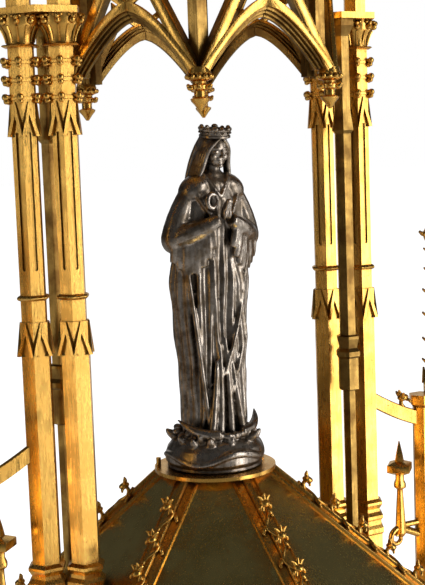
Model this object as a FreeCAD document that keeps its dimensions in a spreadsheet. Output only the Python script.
"""Gilt tower monstrance with a hexagonal plan, in millimetres.

+Z is up, the front is -Y, and the origin is the centre of the foot's flat underside.
Every driving dimension is a cell of the sheet Sizes; the pieces are bound to those cells.
"""

import FreeCAD
import Part
import Sketcher
import math
import os

Vector = FreeCAD.Vector
Rotation = FreeCAD.Rotation
Placement = FreeCAD.Placement

UP = Vector(0, 0, 1)
ACROSS = Vector(1, 0, 0)
BACK = Vector(0, 1, 0)
SIDES = 6
COS30 = math.cos(math.radians(30))

# Driving dimensions, in millimetres and degrees.
SIZES = {
    # foot and stem
    "lobe_radius": 38.0,
    "lobe_distance": 57.0,
    "foot_hole_radius": 40.0,
    "foot_plate_top": 6.0,
    "gallery_height": 8.0,
    "gallery_wall": 2.0,
    "dome_radius": 62.0,
    "dome_height": 44.0,
    "dome_wall": 3.0,
    "stem_radius": 12.0,
    "lower_stem_length": 88.0,
    "knop_radius": 31.0,
    "knop_height": 50.0,
    "knop_stud_radius": 5.0,
    "knop_stud_length": 4.0,
    "collar_thickness": 5.0,
    "collar_overhang": 5.0,
    "upper_stem_length": 56.0,
    "rod_radius": 4.0,
    "rod_clearance": 0.3,
    "nut_radius": 9.0,
    "nut_thickness": 5.0,
    "rod_head_height": 3.0,
    "rod_end": 2.0,
    "calyx_radius": 44.0,
    "calyx_height": 38.0,
    "calyx_floor": 12.0,
    "calyx_wall": 2.5,
    # vessel
    "platform_thickness": 10.0,
    "wing_width": 16.0,
    "cresting_height": 4.8,
    "cresting_pitch": 6.0,
    "cresting_hole_radius": 1.6,
    "cresting_wall": 1.2,
    "glass_radius": 45.5,
    "glass_wall": 2.0,
    "bezel_radius": 48.5,
    "bezel_lip": 42.0,
    "bezel_height": 5.0,
    "vessel_height": 116.0,
    "jamb_radius": 47.5,
    "jamb_angle": 3.0,
    "door_radius": 47.0,
    "door_half_angle": 60.0,
    "door_stile_angle": 4.0,
    "door_rail": 5.0,
    "door_gap": 0.5,
    "door_gap_angle": 1.0,
    "hinge_radius": 49.2,
    "knuckle_radius": 1.4,
    "knuckle_length": 4.0,
    "knuckle_gap": 0.4,
    "hinge_pin_radius": 0.8,
    "running_clearance": 0.05,
    "hinge_inset": 20.0,
    "latch_pivot_x": 36.5,
    "latch_stud_x": 44.0,
    "latch_stud_radius": 0.9,
    "latch_face": 32.0,
    "latch_thickness": 1.2,
    "latch_clearance": 0.3,
    # lunula for a host of 70 mm
    "host_radius": 35.0,
    "lunula_rim": 2.0,
    "lunula_thickness": 1.6,
    "lunula_gap": 0.4,
    "lunula_arc_rise": 8.0,
    "rail_half_width": 7.0,
    "rail_length": 24.0,
    "rail_height": 5.0,
    "rail_base_radius": 13.0,
    "tongue_half_width": 3.0,
    "slide_clearance": 0.3,
    # roof
    "cornice_height": 6.0,
    "cornice_overhang": 3.0,
    "roof_eave_radius": 70.0,
    "roof_top_radius": 16.3,
    "roof_height": 47.0,
    "roof_wall": 1.6,
    "ridge_width": 3.0,
    "ridge_proud": 1.0,
    "crocket_pitch": 11.5,
    "crocket_height": 5.0,
    "crocket_width": 3.4,
    "collar_radius": 17.6,
    "roof_collar_thickness": 1.0,
    "pin_radius": 0.7,
    "pin_height": 2.4,
    # figure
    "plinth_radius": 14.3,
    "plinth_height": 10.0,
    "figure_height": 87.0,
    "crown_height": 3.4,
    "crown_radius": 5.9,
    "screw_radius": 2.0,
    # pillar clusters
    "canopy_radius": 42.3,
    "capital_radius": 5.2,
    "cluster_radius": 6.15,
    "base_radius": 5.4,
    "base_height": 29.0,
    "lower_shaft_radius": 4.2,
    "lower_shaft_height": 57.0,
    "lower_gablet_height": 9.0,
    "lower_gablet_radius": 5.5,
    "upper_shaft_radius": 3.7,
    "torus_rise": 6.5,
    "slot_rise": 7.7,
    "slot_height": 34.8,
    "slot_width": 1.0,
    "slot_depth": 0.5,
    "upper_gablet_height": 9.0,
    "upper_gablet_radius": 4.9,
    "gablet_bar": 0.9,
    "collar_ring_radius": 5.2,
    "collar_ring_height": 2.2,
    "knob_zone_height": 14.0,
    "capital_height": 8.3,
    "middle_shaft_radius": 2.0,
    "middle_drum_radius": 3.3,
    "middle_drum_rise": 36.0,
    "middle_drum_height": 17.0,
    "middle_foot_drop": 7.0,
    "middle_upper_radius": 2.6,
    "cluster_plate_thickness": 1.8,
    "cluster_plate_radius": 11.8,
    "pinnacle_height": 46.0,
    "pinnacle_flare": 1.0,
    "standing_gap": 0.3,
    # canopy and spire
    "canopy_wall": 2.6,
    "canopy_hang": 16.3,
    "canopy_height": 35.0,
    "canopy_post_radius": 2.2,
    "arch_rise": 16.0,
    "pier_width": 4.2,
    "gable_bar": 2.6,
    "pendant_radius": 4.0,
    "pendant_length": 10.4,
    "canopy_cornice_height": 5.0,
    "canopy_cornice_overhang": 3.0,
    "spire_radius": 30.0,
    "spire_tip_radius": 2.4,
    "spire_height": 190.0,
    "spire_flare_height": 12.0,
    "spire_waist_share": 0.62,
    "spire_wall": 1.6,
    "spire_crocket_pitch": 19.0,
    "finial_radius": 6.5,
    "finial_height": 16.0,
    "cross_height": 34.0,
    "cross_span": 24.0,
    "cross_bar": 3.0,
    # buttresses
    "outer_pier_distance": 76.5,
    "outer_pier_radius": 3.3,
    "outer_pier_rise": 59.0,
    "outer_spirelet_height": 62.5,
    "flyer_width": 2.6,
    "flyer_depth": 4.2,
    "flyer_inner_rise": 2.5,
    "flyer_outer_drop": 6.5,
    "small_pinnacle_distance": 67.0,
    "small_pinnacle_rise": 14.0,
    "small_pinnacle_height": 31.0,
    "small_pinnacle_radius": 2.2,
}

# Levels above the table, each worked out from the piece below it.
LEVELS = {
    "gallery_top": "foot_plate_top + gallery_height",
    "dome_top": "gallery_top + dome_height",
    "nut_top": "gallery_top + dome_height * 0.8 - dome_wall",
    "lower_stem_top": "dome_top + lower_stem_length",
    "knop_top": "lower_stem_top + knop_height",
    "upper_stem_top": "knop_top + upper_stem_length",
    "rod_seat": "upper_stem_top + calyx_floor",
    "platform_bottom": "upper_stem_top + calyx_height",
    "roof_bottom": "platform_bottom + platform_thickness + vessel_height + cornice_height",
    "base_top": "roof_bottom + base_height",
    "lower_gablet_bottom": "base_top + lower_shaft_height",
    "lower_gablet_top": "lower_gablet_bottom + lower_gablet_height",
    "torus_level": "lower_gablet_top + torus_rise",
    "slot_bottom": "torus_level + slot_rise",
    "upper_gablet_bottom": "slot_bottom + slot_height",
    "upper_gablet_top": "upper_gablet_bottom + upper_gablet_height",
    "capital_bottom": "upper_gablet_top + knob_zone_height",
    "capital_top": "capital_bottom + capital_height",
    "middle_drum_bottom": "base_top + middle_drum_rise",
    "middle_drum_top": "middle_drum_bottom + middle_drum_height",
    "canopy_bottom": "capital_top - canopy_hang",
    "canopy_top": "canopy_bottom + canopy_height",
    "outer_pier_top": "roof_bottom + outer_pier_rise",
    "flyer_inner_level": "outer_pier_top + flyer_inner_rise",
    "flyer_outer_level": "outer_pier_top - flyer_outer_drop",
    "small_pinnacle_bottom": "roof_bottom + small_pinnacle_rise",
}

document = FreeCAD.newDocument("Monstrance")
sheet = document.addObject("Spreadsheet::Sheet", "Sizes")
CELLS = dict(SIZES)
CELLS.update((alias, f"={formula}") for alias, formula in LEVELS.items())
for row, (alias, value) in enumerate(CELLS.items(), start=1):
    sheet.set(f"A{row}", alias)
    sheet.setAlias(f"B{row}", alias)
    sheet.set(f"B{row}", str(value))
document.recompute()

PIECES = []


# ---------------------------------------------------------------- helpers

def bound(expression):
    """An expression over sheet cells, with each cell's name prefixed for the expression engine."""
    words = []
    word = ""
    for letter in str(expression) + " ":
        if letter.isalnum() or letter in "_.":
            word += letter
            continue
        words.append("Sizes." + word if word in CELLS else word)
        words.append(letter)
        word = ""
    return "".join(words).strip()


def number(expression):
    """The value of an expression over sheet cells."""
    value = sheet.evalExpression(bound(expression))
    return float(getattr(value, "Value", value))


def piece(thing, label):
    """Names a finished sub-part and lists it for writing out."""
    thing.Label = label
    PIECES.append(thing)
    return thing


def primitive(kind, name, level=0, **expressions):
    """A Part primitive standing at a level, its properties bound to the sheet."""
    thing = document.addObject(f"Part::{kind}", name)
    for key, expression in expressions.items():
        thing.setExpression(key, bound(expression))
    thing.setExpression("Placement.Base.z", bound(level))
    return thing


def cylinder(name, radius, height, level=0):
    return primitive("Cylinder", name, level, Radius=radius, Height=height)


def cut(name, base, tool):
    thing = document.addObject("Part::Cut", name)
    thing.Base = base
    thing.Tool = tool
    return thing


def fuse(name, *shapes):
    thing = document.addObject("Part::MultiFuse", name)
    thing.Shapes = list(shapes)
    return thing


def hex_loft(name, sections, corner_angle=0):
    """A solid through regular hexagons given as (corner radius, level), bottom first."""
    rings = []
    for index, (radius, level) in enumerate(sections):
        ring = document.addObject("Part::RegularPolygon", f"{name}_ring{index}")
        ring.Polygon = SIDES
        ring.setExpression("Circumradius", bound(radius))
        ring.setExpression("Placement.Base.z", bound(level))
        ring.Placement.Rotation = Rotation(UP, corner_angle)
        rings.append(ring)
    loft = document.addObject("Part::Loft", name)
    loft.Sections = rings
    loft.Solid = True
    loft.Ruled = True
    return loft


def turned(name, outline):
    """A PartDesign body: a closed outline of (radius, level) expressions turned about Z."""
    body = document.addObject("PartDesign::Body", name)
    sketch = body.newObject("Sketcher::SketchObject", f"{name}_outline")
    plane = [item for item in body.Origin.OriginFeatures if item.Role == "XZ_Plane"][0]
    sketch.AttachmentSupport = [(plane, "")]
    sketch.MapMode = "FlatFace"
    corners = [Vector(number(radius), number(level), 0) for radius, level in outline]
    for index, corner in enumerate(corners):
        after = corners[(index + 1) % len(corners)]
        sketch.addGeometry(Part.LineSegment(corner, after))
    for index, (radius, level) in enumerate(outline):
        following = (index + 1) % len(outline)
        sketch.addConstraint(Sketcher.Constraint("Coincident", index, 2, following, 1))
        for axis, expression in (("DistanceX", radius), ("DistanceY", level)):
            size = number(expression)
            constraint = sketch.addConstraint(
                Sketcher.Constraint(axis, -1, 1, index, 1, size))
            sketch.setExpression(f"Constraints[{constraint}]", bound(expression))
    turn = body.newObject("PartDesign::Revolution", f"{name}_turn")
    turn.Profile = sketch
    turn.ReferenceAxis = (sketch, ["V_Axis"])
    turn.Angle = 360
    return body


def feature(name, shape):
    thing = document.addObject("Part::Feature", name)
    thing.Shape = shape
    return thing


def moved(shape, base=Vector(), angle=0.0, axis=UP):
    """A copy of a shape turned about an axis through the origin and then moved."""
    copy = shape.copy()
    copy.Placement = Placement(base, Rotation(axis, angle)).multiply(copy.Placement)
    return copy


def group(label, source, places):
    """One node of identical solids: a source shape at each place, given as (position, turn)."""
    copies = [moved(source, base, angle) for base, angle in places]
    return piece(feature(label, Part.makeCompound(copies)), label)


def ring_places(count=SIDES, start=0.0):
    return [(Vector(), start + index * 360.0 / count) for index in range(count)]


def loft_shape(sections, corner_angle=0.0):
    """The same solid as hex_loft, from numbers, for shapes that are copied or cut."""
    wires = []
    for radius, level in sections:
        corners = []
        for index in range(SIDES + 1):
            angle = math.radians(corner_angle + index * 360.0 / SIDES)
            corners.append(Vector(radius * math.cos(angle), radius * math.sin(angle), level))
        wires.append(Part.makePolygon(corners))
    return Part.makeLoft(wires, True, True)


def plate(corners, thickness, normal=BACK):
    """A flat plate from an outline of vectors, thickened along a direction."""
    face = Part.Face(Part.makePolygon(corners + corners[:1]))
    return face.extrude(normal * thickness)


def sector(inner, outer, first, last, bottom, top):
    """A curved wall between two radii and two angles in degrees."""
    wall = Part.makeCylinder(outer, top - bottom, Vector(0, 0, bottom), UP, last - first)
    core = Part.makeCylinder(inner, top - bottom, Vector(0, 0, bottom), UP, last - first)
    return moved(wall.cut(core), angle=first)


# ---------------------------------------------------------------- foot and stem

def make_foot():
    lobes = [hex_loft("foot_core", [("lobe_distance", 0), ("lobe_distance", "foot_plate_top")])]
    for index in range(SIDES):
        lobe = cylinder(f"foot_lobe{index}", "lobe_radius", "foot_plate_top")
        turn = f"{index * 360 / SIDES} deg"
        lobe.setExpression("Placement.Base.x", bound(f"lobe_distance * cos({turn})"))
        lobe.setExpression("Placement.Base.y", bound(f"lobe_distance * sin({turn})"))
        lobes.append(lobe)
    plan = fuse("foot_plan", *lobes)
    hole = cylinder("foot_hole", "foot_hole_radius", "foot_plate_top")
    piece(cut("foot_plate", plan, hole), "foot_plate")
    levels = [("dome_radius", "foot_plate_top"), ("dome_radius", "gallery_top")]
    inside = [("dome_radius - dome_wall", "foot_plate_top"),
              ("dome_radius - dome_wall", "gallery_top")]
    steps = 5
    for step in range(1, steps + 1):
        share = step / steps
        hollow = (1 - share) ** 2.2
        radius = f"stem_radius + (dome_radius - stem_radius) * {hollow}"
        level = f"gallery_top + (dome_top - gallery_top) * {share}"
        levels.append((radius, level))
        if step < steps:
            inside.append((f"{radius} - dome_wall", f"{level} - dome_wall"))
    outer = hex_loft("dome_outside", levels, 30)
    inner = hex_loft("dome_inside", inside, 30)
    bore = cylinder("dome_bore", "rod_radius + rod_clearance", "dome_top")
    shell = cut("dome_shell", outer, inner)
    piece(cut("foot_dome", shell, bore), "foot_dome")
    band = hex_loft("gallery_outside", [("dome_radius + gallery_wall", "foot_plate_top"),
                                        ("dome_radius + gallery_wall", "gallery_top")], 30)
    core = hex_loft("gallery_inside", [("dome_radius", "foot_plate_top"),
                                       ("dome_radius", "gallery_top")], 30)
    piece(cut("foot_gallery", band, core), "foot_gallery")


def stem_piece(label, sections, corner_angle=30):
    body = hex_loft(f"{label}_solid", sections, corner_angle)
    bottom = sections[0][1]
    top = sections[-1][1]
    bore = cylinder(f"{label}_bore", "rod_radius + rod_clearance", f"{top} - ({bottom})", bottom)
    return piece(cut(label, body, bore), label)


def make_stem():
    stem_piece("lower_stem", [("stem_radius", "dome_top"), ("stem_radius * 0.85", "lower_stem_top")])
    thickness = number("collar_thickness")
    half = number("(knop_top - lower_stem_top) / 2")
    knop_radius = number("knop_radius")
    neck = number("stem_radius + collar_overhang")
    sections = []
    for angle in range(-90, 91, 30):
        sway = math.sin(math.radians(angle))
        swell = math.cos(math.radians(angle))
        radius = neck + (knop_radius - neck) * swell ** 0.8
        sections.append((radius, number("lower_stem_top") + half * (1 + sway)))
    rod_hole = Part.makeCylinder(number("rod_radius + rod_clearance"), number("platform_bottom"))
    knop_solid = loft_shape(sections, 30).cut(rod_hole)
    studs = []
    stud_radius = number("knop_stud_radius")
    reach = knop_radius * COS30 - 1.0
    middle = number("lower_stem_top") + half
    stud = Part.makeCone(stud_radius, stud_radius * 0.6, 1 + number("knop_stud_length"),
                         Vector(reach, 0, middle), ACROSS)
    for _, angle in ring_places():
        studs.append(moved(stud, angle=angle).cut(knop_solid))
    piece(feature("knop", knop_solid), "knop")
    piece(feature("knop_studs", Part.makeCompound(studs)), "knop_studs")
    lower = number("upper_stem_top") - thickness
    stem_piece("upper_stem", [("stem_radius * 0.85", "knop_top"),
                              ("stem_radius", "upper_stem_top - collar_thickness")])
    ring = loft_shape([(neck - 2, lower), (neck, lower + thickness / 2), (neck, lower + thickness)], 30)
    piece(feature("stem_collar", ring.cut(rod_hole)), "stem_collar")
    piece(turned("calyx", [
        ("rod_radius + rod_clearance", "upper_stem_top"),
        ("stem_radius", "upper_stem_top"),
        ("stem_radius + 9", "upper_stem_top + 18"),
        ("calyx_radius - 4", "platform_bottom - 7"),
        ("calyx_radius", "platform_bottom"),
        ("calyx_radius - calyx_wall * 2", "platform_bottom"),
        ("stem_radius + 6", "rod_seat + 10"),
        ("rod_radius + 5", "rod_seat"),
        ("rod_radius + rod_clearance", "rod_seat"),
    ]), "calyx")
    lowest = "nut_top - nut_thickness - rod_end"
    head = cylinder("rod_head", "rod_radius + 3", "rod_head_height", "rod_seat")
    shank = cylinder("rod_shank", "rod_radius", f"rod_seat - ({lowest})", lowest)
    piece(fuse("tie_rod", head, shank), "tie_rod")


def make_tie_nut():
    """The hexagon nut that pulls the stem together, bearing on the underside of the dome."""
    under = number("nut_top")
    thickness = number("nut_thickness")
    nut = loft_shape([(number("nut_radius"), under - thickness), (number("nut_radius"), under)])
    bore = Part.makeCylinder(number("rod_radius"), thickness, Vector(0, 0, under - thickness))
    piece(feature("tie_nut", nut.cut(bore)), "tie_nut")


# ---------------------------------------------------------------- vessel

def make_platform():
    bottom = number("platform_bottom")
    thickness = number("platform_thickness")
    top = bottom + thickness
    radius = number("roof_eave_radius")
    body = loft_shape([(radius - 6, bottom), (radius - 2, bottom + 3), (radius, bottom + 5),
                       (radius, top)], 30)
    half = number("outer_pier_distance + outer_pier_radius + 4")
    width = number("wing_width")
    wing = Part.makeBox(2 * half, width, thickness / 2, Vector(-half, -width / 2, top - thickness / 2))
    piece(feature("platform", body.fuse(wing).removeSplitter()), "platform")


def make_cresting():
    """A low pierced parapet on the edge of the platform, open where the wings leave it."""
    top = number("platform_bottom + platform_thickness")
    height = number("cresting_height")
    outer = number("roof_eave_radius") - 1.0
    wall = number("cresting_wall")
    band = loft_shape([(outer, top), (outer, top + height)], 30)
    band = band.cut(loft_shape([(outer - wall / COS30, top), (outer - wall / COS30, top + height)], 30))
    gap = number("wing_width")
    band = band.cut(Part.makeBox(4 * outer, gap, height, Vector(-2 * outer, -gap / 2, top)))
    pitch = number("cresting_pitch")
    count = int((outer / 2 - pitch / 2) / pitch)
    hole = number("cresting_hole_radius")
    notch = Part.makeCylinder(hole, 2 * outer, Vector(0, 0, top + height / 2 + 0.4), ACROSS)
    for _, angle in ring_places():
        for index in range(-count, count + 1):
            place = Vector(0, index * pitch, 0)
            band = band.cut(moved(moved(notch, place), angle=angle))
    piece(feature("platform_cresting", band), "platform_cresting")


def ring_band(name, inner, outer, bottom, top):
    return turned(name, [(inner, bottom), (outer, bottom), (outer, top), (inner, top)])


FLOOR = "platform_bottom + platform_thickness"
CEILING = f"{FLOOR} + vessel_height"


def make_glazing():
    ring_bottom = f"{FLOOR}"
    piece(ring_band("lower_bezel", "bezel_lip", "bezel_radius", ring_bottom,
                    f"{FLOOR} + bezel_height"), "lower_bezel")
    piece(ring_band("upper_bezel", "bezel_lip", "bezel_radius",
                    f"{CEILING} - bezel_height", CEILING), "upper_bezel")
    low = number(f"{FLOOR} + bezel_height")
    high = number(f"{CEILING} - bezel_height")
    inner = number("glass_radius - glass_wall")
    half = number("door_half_angle")
    jamb = number("jamb_angle")
    gap = number("door_gap_angle")
    first = 90 + half + gap
    last = 90 - half - gap + 360
    posts = [
        sector(inner, number("jamb_radius"), first, first + jamb, low, high),
        sector(inner, number("jamb_radius"), last - jamb, last, low, high),
    ]
    piece(feature("glass_jambs", Part.makeCompound(posts)), "glass_jambs")
    pane = sector(inner, number("glass_radius"), first + jamb, last - jamb, low, high)
    piece(feature("fixed_glass", pane), "fixed_glass")


def make_door():
    gap = number("door_gap")
    low = number(f"{FLOOR} + bezel_height") + gap
    high = number(f"{CEILING} - bezel_height") - gap
    inner = number("glass_radius - glass_wall")
    outer = number("door_radius")
    half = number("door_half_angle")
    stile = number("door_stile_angle")
    rail = number("door_rail")
    frame = sector(inner, outer, 90 - half, 90 + half, low, high)
    window = sector(inner - 1, outer + 1, 90 - half + stile, 90 + half - stile, low + rail, high - rail)
    frame = frame.cut(window)
    pivot_x = number("latch_pivot_x")
    middle = (low + high) / 2
    face = number("latch_face")
    boss = Part.makeCylinder(1.8, face - 0.3 - 20, Vector(pivot_x, 20, middle), BACK)
    pin_end = face + number("latch_thickness") + 0.8
    pin = Part.makeCylinder(number("hinge_pin_radius"), pin_end - 20, Vector(pivot_x, 20, middle), BACK)
    drum = Part.makeCylinder(outer, high - low, Vector(0, 0, low))
    frame = frame.fuse(boss.fuse(pin).cut(drum)).removeSplitter()
    piece(feature("door_frame", frame), "door_frame")
    pane = sector(inner + 0.6, number("glass_radius"), 90 - half + stile, 90 + half - stile,
                  low + rail, high - rail)
    piece(feature("door_glass", pane), "door_glass")


def knuckle(bore, leaf_angle, reach):
    """A hinge barrel on Z, with a leaf that runs towards the vessel's wall."""
    radius = number("knuckle_radius")
    length = number("knuckle_length")
    barrel = Part.makeCylinder(radius, length)
    leaf = moved(Part.makeBox(reach, 1.2, length, Vector(0, -0.6, 0)), angle=leaf_angle)
    return barrel.fuse(leaf).cut(Part.makeCylinder(bore, length))


def make_hinges():
    """Two hinges, each with one barrel on the door between two on the jamb."""
    half = number("door_half_angle")
    angle = 90 + half + number("door_gap_angle") / 2
    radius = number("hinge_radius")
    axis = Vector(radius * math.cos(math.radians(angle)), radius * math.sin(math.radians(angle)), 0)
    length = number("knuckle_length")
    gap = number("knuckle_gap")
    pin_radius = number("hinge_pin_radius")
    levels = [number(f"{FLOOR} + hinge_inset"), number(f"{CEILING} - hinge_inset")]
    wall = number("jamb_radius")
    tall = number("vessel_height")
    base = number(FLOOR)
    jamb_drum = Part.makeCylinder(wall, tall, Vector(0, 0, base))
    door_drum = Part.makeCylinder(number("door_radius"), tall, Vector(0, 0, base))
    jamb_leaf = angle + 180 - 36
    door_leaf = angle + 180 + 36
    door_side = []
    jamb_side = []
    pins = []
    for level in levels:
        for step in (-1, 0, 1):
            bottom = level - length / 2 + step * (length + gap)
            place = Vector(axis.x, axis.y, bottom)
            if step == 0:
                bore = pin_radius + number("running_clearance")
                door_side.append(moved(knuckle(bore, door_leaf, 5.0), place).cut(door_drum))
            else:
                jamb_side.append(moved(knuckle(pin_radius, jamb_leaf, 5.0), place).cut(jamb_drum))
        pin_length = 3 * length + 2 * gap
        place = Vector(axis.x, axis.y, level - pin_length / 2)
        pins.append(Part.makeCylinder(pin_radius, pin_length, place))
    piece(feature("door_knuckles", Part.makeCompound(door_side)), "door_knuckles")
    piece(feature("jamb_knuckles", Part.makeCompound(jamb_side)), "jamb_knuckles")
    piece(feature("hinge_pins", Part.makeCompound(pins)), "hinge_pins")


def make_latch():
    """A hook on the door that drops over a plain stud on the jamb."""
    low = number(f"{FLOOR} + bezel_height")
    high = number(f"{CEILING} - bezel_height")
    middle = (low + high) / 2
    pivot_x = number("latch_pivot_x")
    stud_x = number("latch_stud_x")
    face = number("latch_face")
    thick = number("latch_thickness")
    half_height = 2.2
    reach = stud_x + 3.0 - pivot_x
    bar = Part.makeBox(reach, thick, 2 * half_height, Vector(pivot_x, face, middle - half_height))
    eye = Part.makeCylinder(half_height, thick, Vector(pivot_x, face, middle), BACK)
    hole = Part.makeCylinder(number("hinge_pin_radius + running_clearance"), 3 * thick,
                             Vector(pivot_x, face - thick, middle), BACK)
    stud_radius = number("latch_stud_radius")
    slot_half = stud_radius + number("latch_clearance")
    slot = Part.makeBox(2 * slot_half, 3 * thick, half_height + 1,
                        Vector(stud_x - slot_half, face - thick, middle - half_height - 1))
    slot_end = Part.makeCylinder(slot_half, 3 * thick, Vector(stud_x, face - thick, middle), BACK)
    hook = bar.fuse(eye).cut(hole).cut(slot).cut(slot_end)
    piece(feature("latch_hook", hook), "latch_hook")
    root_x = number("glass_radius") - 4.5
    root_y = face / 2
    lug = Part.makeBox(stud_x + 1.4 - root_x, 6.0, 5.0, Vector(root_x, root_y, middle - 2.5))
    lug_drum = Part.makeCylinder(number("jamb_radius"), high - low, Vector(0, 0, low))
    stud_end = face + thick + 0.8
    stud = Part.makeCylinder(stud_radius, stud_end - root_y, Vector(stud_x, root_y, middle), BACK)
    piece(feature("latch_stud", lug.fuse(stud).cut(lug_drum).removeSplitter()), "latch_stud")


def arc_plate(inner, outer, centre, thickness, front, rise):
    """A crescent: the lower part of a ring about Y, with its two horns a rise above centre."""
    ring = Part.makeCylinder(outer, thickness, Vector(0, front, centre), BACK)
    ring = ring.cut(Part.makeCylinder(inner, thickness, Vector(0, front, centre), BACK))
    lid = Part.makeBox(4 * outer, 4 * thickness, 2 * outer,
                       Vector(-2 * outer, front - thickness, centre + rise))
    return ring.cut(lid)


def make_lunula():
    """A rail on the floor, a foot that slides in it, and two crescents that grip the host."""
    floor = number(FLOOR)
    middle = floor + number("vessel_height") / 2
    host = number("host_radius")
    rim = number("lunula_rim")
    thick = number("lunula_thickness")
    gap = number("lunula_gap")
    rise = number("lunula_arc_rise")
    outer = host + rim
    inner = host - rim
    lowest = middle - outer
    rail_height = number("rail_height")
    rail_top = lowest - 6.0
    half = number("rail_half_width")
    length = number("rail_length")
    tongue = number("tongue_half_width")
    slack = number("slide_clearance")
    base = Part.makeCylinder(number("rail_base_radius"), 3.0, Vector(0, 0, floor))
    post = Part.makeCylinder(3.0, rail_top - rail_height - floor, Vector(0, 0, floor))
    block = Part.makeBox(2 * half, length, rail_height, Vector(-half, -length / 2, rail_top - rail_height))
    slot = Part.makeBox(2 * (tongue + slack), length, rail_height - 2.0,
                        Vector(-tongue - slack, -length / 2, rail_top - rail_height + 2.0))
    rail = base.fuse(post).fuse(block).cut(slot).removeSplitter()
    piece(feature("lunula_rail", rail), "lunula_rail")
    tongue_bottom = rail_top - rail_height + 2.0 + slack
    foot = Part.makeBox(2 * tongue, length / 2, rail_top + 0.6 - tongue_bottom,
                        Vector(-tongue, -length / 4, tongue_bottom))
    flange = Part.makeBox(2 * half - 2, length / 2, 1.0, Vector(1 - half, -length / 4, rail_top + 0.6))
    shank = Part.makeBox(5.0, 2 * thick, lowest + 1.0 - rail_top, Vector(-2.5, -2 * thick, rail_top + 0.6))
    ring_front = -thick - gap / 2
    crescent = arc_plate(inner, outer, middle, thick, ring_front, rise)
    foot = foot.fuse(flange).fuse(shank).cut(crescent)
    pivot_level = rail_top + 4.2
    pivot_y = 2.0
    ear_length = 2.0
    ears = []
    for side in (-1, 1):
        ear = Part.makeBox(ear_length, 5.0, 3.9, Vector(side * 3.8 - ear_length / 2, -1.0, rail_top + 1.6))
        ears.append(ear)
    pin_radius = number("hinge_pin_radius")
    pin_reach = 3.8 + ear_length / 2
    bore = Part.makeCylinder(pin_radius, 2 * pin_reach, Vector(-pin_reach, pivot_y, pivot_level), ACROSS)
    foot = foot.fuse(ears[0]).fuse(ears[1]).cut(bore).removeSplitter()
    piece(feature("lunula_foot", foot), "lunula_foot")
    piece(feature("lunula_crescent", crescent), "lunula_crescent")
    clip_front = gap / 2 + 0.6
    clip = arc_plate(inner, outer, middle, thick, clip_front, rise)
    lug_half = 3.8 - ear_length / 2 - 0.4
    lug = Part.makeBox(2 * lug_half, thick, lowest + 1.0 - pivot_level,
                       Vector(-lug_half, clip_front, pivot_level))
    barrel = Part.makeCylinder(1.5, 2 * lug_half, Vector(-lug_half, pivot_y, pivot_level), ACROSS)
    clearance = pin_radius + number("running_clearance")
    free_bore = Part.makeCylinder(clearance, 2 * lug_half, Vector(-lug_half, pivot_y, pivot_level), ACROSS)
    clip = clip.fuse(lug).fuse(barrel).cut(free_bore).removeSplitter()
    piece(feature("lunula_clip", clip), "lunula_clip")
    pin = Part.makeCylinder(pin_radius, 2 * pin_reach, Vector(-pin_reach, pivot_y, pivot_level), ACROSS)
    piece(feature("lunula_pin", pin), "lunula_pin")


# ---------------------------------------------------------------- roof

ROOF_BOTTOM = f"{CEILING} + cornice_height"
ROOF_TOP = f"{ROOF_BOTTOM} + roof_height"


def roof_solid(wall=0.0):
    """The roof's outer pyramid, or the space inside a wall of that thickness."""
    eave = number("roof_eave_radius")
    top = number("roof_top_radius")
    bottom = number(ROOF_BOTTOM)
    height = number("roof_height")
    run = (eave - top) * COS30
    inset = wall * math.hypot(run, height) / height / COS30
    if wall == 0:
        return loft_shape([(eave, bottom), (top, bottom + height)], 30)
    drop = wall
    slope = (eave - top) / height
    return loft_shape([(eave - inset, bottom), (top - inset + slope * drop, bottom + height - drop)], 30)


def make_roof():
    plain = hex_loft("cornice_solid", [
        ("roof_eave_radius - 3", CEILING),
        ("roof_eave_radius + cornice_overhang - 1", f"{CEILING} + 2"),
        ("roof_eave_radius + cornice_overhang", f"{CEILING} + 3"),
        ("roof_eave_radius + cornice_overhang", f"{CEILING} + cornice_height - 1"),
        ("roof_eave_radius", ROOF_BOTTOM),
    ], 30)
    opening = cylinder("cornice_opening", "bezel_lip - 6", "cornice_height", CEILING)
    piece(cut("roof_cornice", plain, opening), "roof_cornice")
    screw_bore = Part.makeCylinder(number("screw_radius"), 400, Vector(0, 0, number(CEILING)))
    shell = roof_solid().cut(roof_solid(number("roof_wall"))).cut(screw_bore)
    piece(feature("roof_shell", shell), "roof_shell")
    collar = Part.makeCylinder(number("collar_radius"), number("roof_collar_thickness"),
                               Vector(0, 0, number(ROOF_TOP)))
    collar = collar.cut(screw_bore)
    for angle in (3, 150):
        reach = number("collar_radius") - 1.2
        place = Vector(reach * math.cos(math.radians(angle)), reach * math.sin(math.radians(angle)),
                       number(ROOF_TOP) + number("roof_collar_thickness"))
        collar = collar.fuse(Part.makeCylinder(number("pin_radius"), number("pin_height"), place))
    piece(feature("roof_collar", collar), "roof_collar")


def ridge_line():
    """Foot, head and unit direction of the ridge in the XZ plane."""
    foot = Vector(number("roof_eave_radius"), 0, number(ROOF_BOTTOM))
    head = Vector(number("roof_top_radius"), 0, number(ROOF_TOP))
    along = head.sub(foot)
    return foot, head, along.normalize()


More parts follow.
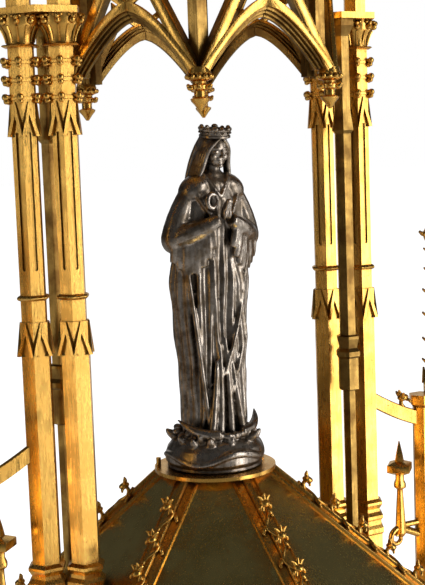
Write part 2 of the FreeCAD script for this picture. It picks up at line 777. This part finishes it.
def make_ridges():
    """A flat bar down each ridge of the roof, cut to sit on the two faces that it joins."""
    foot, head, along = ridge_line()
    width = number("ridge_width")
    proud = number("ridge_proud")
    out = Vector(-along.z, 0, along.x) * -1
    length = foot.distanceToPoint(head) - 0.6
    corners = [foot - out * 2, foot + out * proud, foot + along * length + out * proud,
               foot + along * length - out * 2]
    corners = [corner + Vector(0, -width / 2, 0) for corner in corners]
    bar = plate(corners, width)
    top = number(ROOF_TOP)
    over = Part.makeBox(400, 400, 40, Vector(-200, -200, top))
    under = Part.makeBox(400, 400, 40, Vector(-200, -200, number(ROOF_BOTTOM) - 40))
    bar = bar.cut(over).cut(under)
    outside = roof_solid()
    bars = [moved(bar, angle=angle).cut(outside) for _, angle in ring_places(start=30.0)]
    piece(feature("roof_ridges", Part.makeCompound(bars)), "roof_ridges")


def make_roof_crockets():
    """A row of leaves on each ridge, standing on the ridge bar and leaning outwards."""
    foot, head, along = ridge_line()
    out = Vector(-along.z, 0, along.x) * -1
    height = number("crocket_height")
    width = number("crocket_width")
    pitch = number("crocket_pitch")
    proud = number("ridge_proud")
    length = foot.distanceToPoint(head)
    leaves = []
    place = pitch * 0.9
    while place < length - 3:
        start = head - along * place + out * proud
        stem = [start, start + along * 2.0, start + along * 1.2 + out * height * 0.6,
                start + along * 2.6 + out * height, start - along * 0.6 + out * height,
                start - along * 0.6 + out * height * 0.5]
        stem = [corner + Vector(0, -width / 2, 0) for corner in stem]
        leaves.append(plate(stem, width))
        place += pitch
    crockets = []
    for _, angle in ring_places(start=30.0):
        crockets.extend(moved(leaf, angle=angle) for leaf in leaves)
    piece(feature("roof_crockets", Part.makeCompound(crockets)), "roof_crockets")


# ---------------------------------------------------------------- figure

PLINTH_BOTTOM = f"{ROOF_TOP} + roof_collar_thickness"
FIGURE_BOTTOM = f"{PLINTH_BOTTOM} + plinth_height"
HEAD_TOP = f"{FIGURE_BOTTOM} + figure_height"


def make_figure():
    """The figure on its plinth: a plain draped mass of the right size, with a crown."""
    piece(turned("figure_plinth", [
        ("screw_radius", PLINTH_BOTTOM),
        ("plinth_radius", PLINTH_BOTTOM),
        ("plinth_radius", f"{PLINTH_BOTTOM} + plinth_height * 0.3"),
        ("plinth_radius * 0.88", f"{PLINTH_BOTTOM} + plinth_height * 0.7"),
        ("plinth_radius * 0.66", FIGURE_BOTTOM),
        ("screw_radius", FIGURE_BOTTOM),
    ]), "figure_plinth")
    bottom = number(FIGURE_BOTTOM)
    height = number("figure_height")
    outline = [(0.0, 9.0, 6.4), (0.22, 8.8, 6.6), (0.45, 11.0, 8.0), (0.66, 13.6, 8.6),
               (0.73, 13.2, 8.4), (0.83, 9.6, 6.4), (0.86, 5.2, 4.8), (0.93, 5.6, 5.6), (1.0, 3.4, 3.4)]
    rings = []
    for share, half_width, half_depth in outline:
        ellipse = Part.Ellipse(Vector(), half_width, half_depth)
        ring = Part.Wire([ellipse.toShape()])
        ring.translate(Vector(0, 0, bottom + share * height))
        rings.append(ring)
    mass = Part.makeLoft(rings, True, True)
    screw_top = bottom + 8.0
    socket = Part.makeCylinder(number("screw_radius"), 8.0, Vector(0, 0, bottom))
    piece(feature("figure", mass.cut(socket)), "figure")
    crown_bottom = number(HEAD_TOP) - 1.0
    crown_radius = number("crown_radius")
    band = Part.makeCone(crown_radius - 1.2, crown_radius, number("crown_height"),
                         Vector(0, 0, crown_bottom))
    hollow = Part.makeCone(crown_radius - 2.0, crown_radius - 0.8, number("crown_height") - 1.0,
                           Vector(0, 0, crown_bottom + 1.0))
    crown = band.cut(hollow).cut(mass)
    piece(feature("figure_crown", crown), "figure_crown")
    head_level = number(ROOF_TOP) - number("roof_wall")
    shank = Part.makeCylinder(number("screw_radius"), screw_top - head_level, Vector(0, 0, head_level))
    head = Part.makeCylinder(number("screw_radius") * 2, 2.5, Vector(0, 0, head_level - 2.5))
    piece(feature("figure_screw", shank.fuse(head)), "figure_screw")


# ---------------------------------------------------------------- pillar clusters

def cluster_spots():
    """Centres of the outer and inner tall shafts and of the middle shaft, on both sides."""
    centre = number("canopy_radius + capital_radius")
    swing = number("cluster_radius")
    tall = []
    middle = []
    for side in (1, -1):
        tall.append(Vector(side * (centre + swing), 0, 0))
        tall.append(Vector(side * (centre - swing / 2), side * swing * COS30, 0))
        middle.append(Vector(side * (centre - swing / 2), -side * swing * COS30, 0))
    return tall, middle


TALL_SPOTS, MIDDLE_SPOTS = cluster_spots()
TALL_PLACES = [(spot, 0.0) for spot in TALL_SPOTS]
MIDDLE_PLACES = [(spot, 0.0) for spot in MIDDLE_SPOTS]


def on_roof(label, source, spots):
    """Copies of a standing solid, each cut off where it meets the roof."""
    outside = roof_solid()
    copies = [moved(source, spot).cut(outside) for spot in spots]
    return piece(feature(label, Part.makeCompound(copies)), label)


def gablets(label, bottom, top, foot_radius, shaft_radius, places):
    """Six raised chevrons round a shaft, their feet flaring at its corners."""
    bar = number("gablet_bar")
    height = top - bottom
    tip_radius = shaft_radius + 0.45
    cone = loft_shape([(foot_radius, bottom), (tip_radius, top)])
    core = loft_shape([(shaft_radius, bottom), (shaft_radius, top)])
    half = foot_radius / 2
    side_angle = math.atan2(height, half)
    inner_half = half - bar / math.sin(side_angle)
    inner_height = height - bar / math.cos(side_angle)
    reach = foot_radius
    outline = [Vector(0, -half, bottom), Vector(0, 0, top), Vector(0, half, bottom),
               Vector(0, inner_half, bottom), Vector(0, 0, bottom + inner_height),
               Vector(0, -inner_half, bottom)]
    chevron = plate(outline, reach, ACROSS)
    crown = None
    for index in range(SIDES):
        one = moved(chevron, angle=30.0 + 60.0 * index)
        crown = one if crown is None else crown.fuse(one)
    ring = crown.common(cone).cut(core).removeSplitter()
    return group(label, ring, places)


def make_tall_shafts():
    base_top = number("base_top")
    base_radius = number("base_radius")
    shaft = number("lower_shaft_radius")
    base = loft_shape([
        (base_radius, number(ROOF_BOTTOM)),
        (base_radius, base_top - 11),
        (base_radius + 0.5, base_top - 10.4),
        (base_radius + 0.5, base_top - 9),
        (base_radius - 0.3, base_top - 8),
        (base_radius - 0.3, base_top - 6.5),
        (base_radius + 0.3, base_top - 6),
        (base_radius + 0.3, base_top - 5),
        (base_radius - 0.8, base_top - 4),
        (base_radius - 0.8, base_top - 3),
        (base_radius + 0.1, base_top - 1.6),
        (base_radius + 0.1, base_top - 0.8),
        (shaft, base_top),
    ])
    on_roof("pillar_bases", base, TALL_SPOTS)
    lower_bottom = number("lower_gablet_bottom")
    lower_top = number("lower_gablet_top")
    lower = loft_shape([(shaft, base_top), (shaft, lower_top)])
    group("lower_shafts", lower, TALL_PLACES)
    gablets("lower_gablets", lower_bottom, lower_top, number("lower_gablet_radius"), shaft, TALL_PLACES)
    upper = number("upper_shaft_radius")
    capital_bottom = number("capital_bottom")
    long_shaft = loft_shape([(upper, lower_top), (upper, capital_bottom)])
    slot_bottom = number("slot_bottom")
    slot_width = number("slot_width")
    slot_top = number("upper_gablet_bottom") + 1.0
    depth = number("slot_depth")
    face = upper * COS30
    slot = Part.makeBox(depth + 1, slot_width, slot_top - slot_bottom,
                        Vector(face - depth, -slot_width / 2, slot_bottom))
    slot = slot.fuse(Part.makeCylinder(slot_width / 2, depth + 1,
                                       Vector(face - depth, 0, slot_bottom), ACROSS))
    for index in range(SIDES):
        long_shaft = long_shaft.cut(moved(slot, angle=30.0 + 60.0 * index))
    group("upper_shafts", long_shaft, TALL_PLACES)
    upper_bottom = number("upper_gablet_bottom")
    upper_top = number("upper_gablet_top")
    gablets("upper_gablets", upper_bottom, upper_top, number("upper_gablet_radius"), upper, TALL_PLACES)


def hex_ring(outer, inner, bottom, height):
    ring = loft_shape([(outer - 0.5, bottom), (outer, bottom + height * 0.3),
                       (outer, bottom + height * 0.7), (outer - 0.5, bottom + height)])
    return ring.cut(loft_shape([(inner, bottom), (inner, bottom + height)]))


def make_rings_and_capitals():
    shaft = number("upper_shaft_radius")
    rings = [hex_ring(shaft + 0.9, shaft, number("torus_level") - 0.8, 1.6)]
    upper_top = number("upper_gablet_top")
    capital_bottom = number("capital_bottom")
    collar = number("collar_ring_radius")
    height = number("collar_ring_height")
    rows = 3
    step = (capital_bottom - 1.0 - upper_top) / rows
    for row in range(rows):
        rings.append(hex_ring(collar, shaft, upper_top + 0.6 + row * step, height))
    copies = []
    for spot in TALL_SPOTS:
        copies.extend(moved(ring, spot) for ring in rings)
    piece(feature("pillar_rings", Part.makeCompound(copies)), "pillar_rings")
    top = number("capital_top")
    wide = number("capital_radius")
    bell = loft_shape([(wide, capital_bottom), (wide, capital_bottom + 0.8),
                       (shaft, capital_bottom + 1.4), (shaft, capital_bottom + 3),
                       (wide, top - 2.4), (wide, top)])
    group("capitals", bell, TALL_PLACES)


def make_middle_shafts():
    thin = number("middle_shaft_radius")
    drum = number("middle_drum_radius")
    drum_bottom = number("middle_drum_bottom")
    drum_top = number("middle_drum_top")
    upper = number("middle_upper_radius")
    top = number("capital_top")
    gable_top = number("upper_gablet_top")
    foot_top = number("base_top - middle_foot_drop")
    shaft = loft_shape([
        (drum, number(ROOF_BOTTOM)), (drum, foot_top), (thin, foot_top + 2), (thin, drum_bottom),
        (drum, drum_bottom + 0.5), (drum, drum_top - 7),
        (drum + 0.6, drum_top - 6.4), (drum + 0.6, drum_top - 5), (drum - 0.4, drum_top - 4),
        (drum + 0.3, drum_top - 1.2), (drum + 0.3, drum_top - 0.4), (upper, drum_top),
        (upper, gable_top - 11), (upper + 0.9, gable_top - 10), (upper, gable_top - 4),
        (upper, top - 5), (upper + 1.6, top - 2), (upper + 1.6, top)])
    on_roof("middle_shafts", shaft, MIDDLE_SPOTS)


def make_cluster_tops():
    """The plate over each cluster, and a crocketed pinnacle on each tall shaft."""
    level = number("capital_top")
    thick = number("cluster_plate_thickness")
    radius = number("cluster_plate_radius")
    centre = number("canopy_radius + capital_radius")
    canopy = number("canopy_radius")
    keep_out = loft_shape([(canopy, level - 1), (canopy, level + thick + 1)])
    plates = []
    for side in (1, -1):
        slab = loft_shape([(radius, level), (radius, level + thick)], 0.0)
        plates.append(moved(slab, Vector(side * centre, 0, 0)).cut(keep_out))
    piece(feature("cluster_plates", Part.makeCompound(plates)), "cluster_plates")
    base = level + thick
    height = number("pinnacle_height")
    shaft = number("upper_shaft_radius")
    flare = number("pinnacle_flare")
    pinnacle = loft_shape([
        (shaft, base), (shaft, base + height * 0.34), (shaft + flare, base + height * 0.36),
        (shaft + flare, base + height * 0.38), (shaft - 0.6, base + height * 0.42),
        (0.8, base + height * 0.86), (1.8, base + height * 0.89), (1.8, base + height * 0.92),
        (0.4, base + height)])
    group("pillar_pinnacles", pinnacle, TALL_PLACES)


# ---------------------------------------------------------------- canopy and spire

def arch_cutters(side_length, bottom, tall, deep):
    """Openings round one gable of the arcade, in the YZ plane: arch, spandrels, eye and corners."""
    rise = number("arch_rise")
    bar = number("gable_bar")
    corner = side_length / 2
    half = corner - number("pier_width") / 2
    bow = Vector(0, -half * 0.56, bottom + rise * 0.56)
    apex = Vector(0, 0, bottom + rise)
    left = Part.Arc(Vector(0, -half, bottom - 1), bow, apex).toShape()
    right = Part.Arc(apex, Vector(0, -bow.y, bow.z), Vector(0, half, bottom - 1)).toShape()
    sill = Part.LineSegment(Vector(0, half, bottom - 1), Vector(0, -half, bottom - 1)).toShape()
    cutters = [Part.Face(Part.Wire([left, right, sill])).extrude(ACROSS * deep)]
    for side in (1, -1):
        spandrel = [(0.07 * corner, 1.08 * rise), (0.57 * corner, 0.64 * rise),
                    (0.31 * corner, 1.27 * rise)]
        outside = [(corner - 0.3, 1.0), (corner, 1.0), (corner, tall + 1),
                   (bar / 2, tall + 1), (bar / 2, tall)]
        for outline in (spandrel, outside):
            corners = [Vector(0, side * across, bottom + up) for across, up in outline]
            cutters.append(plate(corners, deep, ACROSS))
    eye = [(0, 1.25 * rise), (0.23 * corner, 1.43 * rise), (0, tall - bar), (-0.23 * corner, 1.43 * rise)]
    cutters.append(plate([Vector(0, across, bottom + up) for across, up in eye], deep, ACROSS))
    return cutters


def make_canopy():
    outer = number("canopy_radius")
    wall = number("canopy_wall") / COS30
    bottom = number("canopy_bottom")
    top = number("canopy_top")
    ring = loft_shape([(outer, bottom), (outer, top)])
    ring = ring.cut(loft_shape([(outer - wall, bottom), (outer - wall, top)]))
    deep = 20.0
    for index in range(SIDES):
        for cutter in arch_cutters(outer, bottom, top - bottom, deep):
            placed = moved(cutter, Vector(outer * COS30 - deep / 2, 0, 0))
            ring = ring.cut(moved(placed, angle=30.0 + 60.0 * index))
    post_radius = number("canopy_post_radius")
    post = loft_shape([(post_radius, bottom), (post_radius, top)])
    post = moved(post, Vector(outer - wall - post_radius / 2, 0, 0))
    foot_radius = post_radius - 0.2
    foot = loft_shape([(foot_radius, bottom), (foot_radius, bottom + 1.5)])
    post = post.fuse(moved(foot, Vector(outer - foot_radius - 0.4, 0, 0)))
    for _, angle in ring_places():
        ring = ring.fuse(moved(post, angle=angle))
    ring = ring.removeSplitter()
    piece(feature("canopy_arcade", ring), "canopy_arcade")
    cornice = number("canopy_cornice_height")
    over = number("canopy_cornice_overhang")
    slab = loft_shape([(outer, top), (outer + over, top + 1.5), (outer + over, top + cornice - 1),
                       (outer - 1, top + cornice)])
    boss = Part.makeCylinder(number("screw_radius"), cornice, Vector(0, 0, top))
    slab = slab.cut(boss)
    notch_radius = number("upper_shaft_radius + pinnacle_flare + standing_gap")
    notch = loft_shape([(notch_radius, top - 1), (notch_radius, top + cornice + 1)])
    for spot in TALL_SPOTS:
        slab = slab.cut(moved(notch, spot))
    piece(feature("canopy_cornice", slab), "canopy_cornice")
    drop = number("pendant_length")
    wide = number("pendant_radius")
    pendant = Part.makeCone(wide * 0.2, wide * 0.5, drop * 0.3, Vector(0, 0, bottom - drop))
    pendant = pendant.fuse(Part.makeCylinder(wide * 0.66, drop * 0.1, Vector(0, 0, bottom - drop * 0.7)))
    pendant = pendant.fuse(Part.makeCone(wide * 0.4, wide, drop * 0.3, Vector(0, 0, bottom - drop * 0.6)))
    pendant = pendant.fuse(Part.makeCylinder(wide, drop * 0.3, Vector(0, 0, bottom - drop * 0.3)))
    pendant = pendant.removeSplitter()
    reach = outer - wall / 2 - 1.0
    places = []
    for index in (1, 2, 4, 5):
        angle = math.radians(60.0 * index)
        places.append((Vector(reach * math.cos(angle), reach * math.sin(angle), 0), 0.0))
    group("canopy_pendants", pendant, places)


SPIRE_BOTTOM = "canopy_top + canopy_cornice_height"


def make_spire():
    radius = number("spire_radius")
    tip = number("spire_tip_radius")
    bottom = number(SPIRE_BOTTOM)
    height = number("spire_height")
    wall = number("spire_wall") / COS30
    flare = number("spire_flare_height")
    waist = radius * number("spire_waist_share")
    solid = loft_shape([(radius, bottom), (waist, bottom + flare), (tip, bottom + height)])
    inside = loft_shape([(radius - wall, bottom), (waist - wall, bottom + flare),
                         (wall * 0.6, bottom + height * 0.8)])
    piece(feature("spire", solid.cut(inside)), "spire")
    pitch = number("spire_crocket_pitch")
    width = number("crocket_width") * 0.8
    reach = number("crocket_height") * 0.8
    leaves = []
    level = bottom + flare + pitch * 0.4
    while level < bottom + height - pitch * 0.6:
        share = (level - bottom - flare) / (height - flare)
        ridge = waist + (tip - waist) * share
        corners = [Vector(ridge - 1.5, -width / 2, level), Vector(ridge + reach, -width / 2, level + 2.5),
                   Vector(ridge + reach, -width / 2, level + 5.5), Vector(ridge - 1.5, -width / 2, level + 4.5)]
        leaves.append(plate(corners, width))
        level += pitch
    crockets = []
    for _, angle in ring_places():
        crockets.extend(moved(leaf, angle=angle).cut(solid) for leaf in leaves)
    piece(feature("spire_crockets", Part.makeCompound(crockets)), "spire_crockets")
    top = f"{SPIRE_BOTTOM} + spire_height"
    piece(turned("finial", [
        (0, top), ("spire_tip_radius", top), ("spire_tip_radius", f"{top} + 2"),
        ("finial_radius", f"{top} + finial_height * 0.4"),
        ("finial_radius", f"{top} + finial_height * 0.55"),
        ("spire_tip_radius", f"{top} + finial_height * 0.75"),
        ("finial_radius * 0.5", f"{top} + finial_height * 0.85"),
        ("spire_tip_radius * 0.6", f"{top} + finial_height"), (0, f"{top} + finial_height"),
    ]), "finial")
    base = number(f"{top} + finial_height")
    bar = number("cross_bar")
    tall = number("cross_height")
    span = number("cross_span")
    upright = Part.makeBox(bar, bar * 0.8, tall, Vector(-bar / 2, -bar * 0.4, base))
    beam = Part.makeBox(span, bar * 0.8, bar, Vector(-span / 2, -bar * 0.4, base + tall - span / 2 - bar / 2))
    piece(feature("cross", upright.fuse(beam).removeSplitter()), "cross")


# ---------------------------------------------------------------- buttresses

def both_sides(label, shape):
    """One node of two solids, the second turned half way round the axis."""
    return piece(feature(label, Part.makeCompound([shape, moved(shape, angle=180)])), label)


def make_buttresses():
    distance = number("outer_pier_distance")
    radius = number("outer_pier_radius")
    floor = number(FLOOR)
    top = number("outer_pier_top")
    pier = loft_shape([(radius + 2, floor), (radius + 2, floor + 8), (radius, floor + 10),
                       (radius, top - 4), (radius + 1, top - 3), (radius + 1, top)])
    both_sides("outer_piers", moved(pier, Vector(distance, 0, 0)))
    height = number("outer_spirelet_height")
    spirelet = loft_shape([
        (radius + 0.6, top), (radius - 0.8, top + height * 0.1), (1.7, top + height * 0.68),
        (4.0, top + height * 0.78), (4.0, top + height * 0.84), (1.6, top + height * 0.86),
        (0.4, top + height)])
    both_sides("outer_spirelets", moved(spirelet, Vector(distance, 0, 0)))
    centre = number("canopy_radius + capital_radius + cluster_radius")
    shaft = number("lower_shaft_radius")
    start = centre + shaft * 0.9
    end = distance - radius * 0.9
    width = number("flyer_width")
    depth = number("flyer_depth")
    high = number("flyer_inner_level")
    low = number("flyer_outer_level")
    bend = Vector((start + end) / 2, 0, (high + low) / 2 - 1.6)
    upper_edge = Part.Arc(Vector(start, 0, high), bend, Vector(end, 0, low)).toShape()
    lower_edge = upper_edge.translated(Vector(0, 0, -depth))
    sides = [Part.LineSegment(Vector(start, 0, high), Vector(start, 0, high - depth)).toShape(),
             Part.LineSegment(Vector(end, 0, low), Vector(end, 0, low - depth)).toShape()]
    face = Part.Face(Part.Wire(Part.sortEdges([upper_edge, lower_edge] + sides)[0]))
    flyer = face.extrude(BACK * width).translated(Vector(0, -width / 2, 0))
    shafts = loft_shape([(shaft, low - 20), (shaft, high + 20)])
    flyer = flyer.cut(moved(shafts, Vector(centre, 0, 0)))
    pier_solid = loft_shape([(radius, floor), (radius, top)])
    flyer = flyer.cut(moved(pier_solid, Vector(distance, 0, 0)))
    both_sides("flying_buttresses", flyer)
    place = number("small_pinnacle_distance")
    base = number("small_pinnacle_bottom")
    tall = number("small_pinnacle_height")
    thin = number("small_pinnacle_radius")
    pinnacle = loft_shape([
        (thin, base), (thin, base + tall * 0.6), (thin + 1.6, base + tall * 0.62),
        (thin + 1.6, base + tall * 0.72), (thin - 0.6, base + tall * 0.74), (0.4, base + tall)])
    both_sides("small_pinnacles", moved(pinnacle, Vector(place, 0, 0)))
    arm = Part.makeBox(distance - place, 2.4, 3.0, Vector(place, -1.2, base + 2))
    arm = arm.cut(moved(pinnacle, Vector(place, 0, 0))).cut(moved(pier_solid, Vector(distance, 0, 0)))
    arm = arm.common(Part.makeBox(distance, 10, 400, Vector(place, -5, 200)))
    both_sides("pinnacle_brackets", arm)


make_foot()
make_stem()
make_tie_nut()
make_platform()
make_cresting()
make_glazing()
make_door()
make_hinges()
make_latch()
make_lunula()
make_roof()
make_ridges()
make_roof_crockets()
make_figure()
make_tall_shafts()
make_rings_and_capitals()
make_middle_shafts()
make_cluster_tops()
make_canopy()
make_spire()
make_buttresses()
document.recompute()

for thing in document.Objects:
    if "Invalid" in thing.State or "Error" in thing.State:
        raise RuntimeError(f"{thing.Name} did not compute: {thing.State}")
for thing in PIECES:
    if thing.Shape.isNull() or not thing.Shape.isValid():
        raise RuntimeError(f"{thing.Label} has no valid shape")
    if not thing.Shape.Solids:
        raise RuntimeError(f"{thing.Label} holds no solid")

os.makedirs("parts", exist_ok=True)
for thing in PIECES:
    thing.Shape.exportStep(f"parts/{thing.Label}.step")
print(len(PIECES), "pieces written")
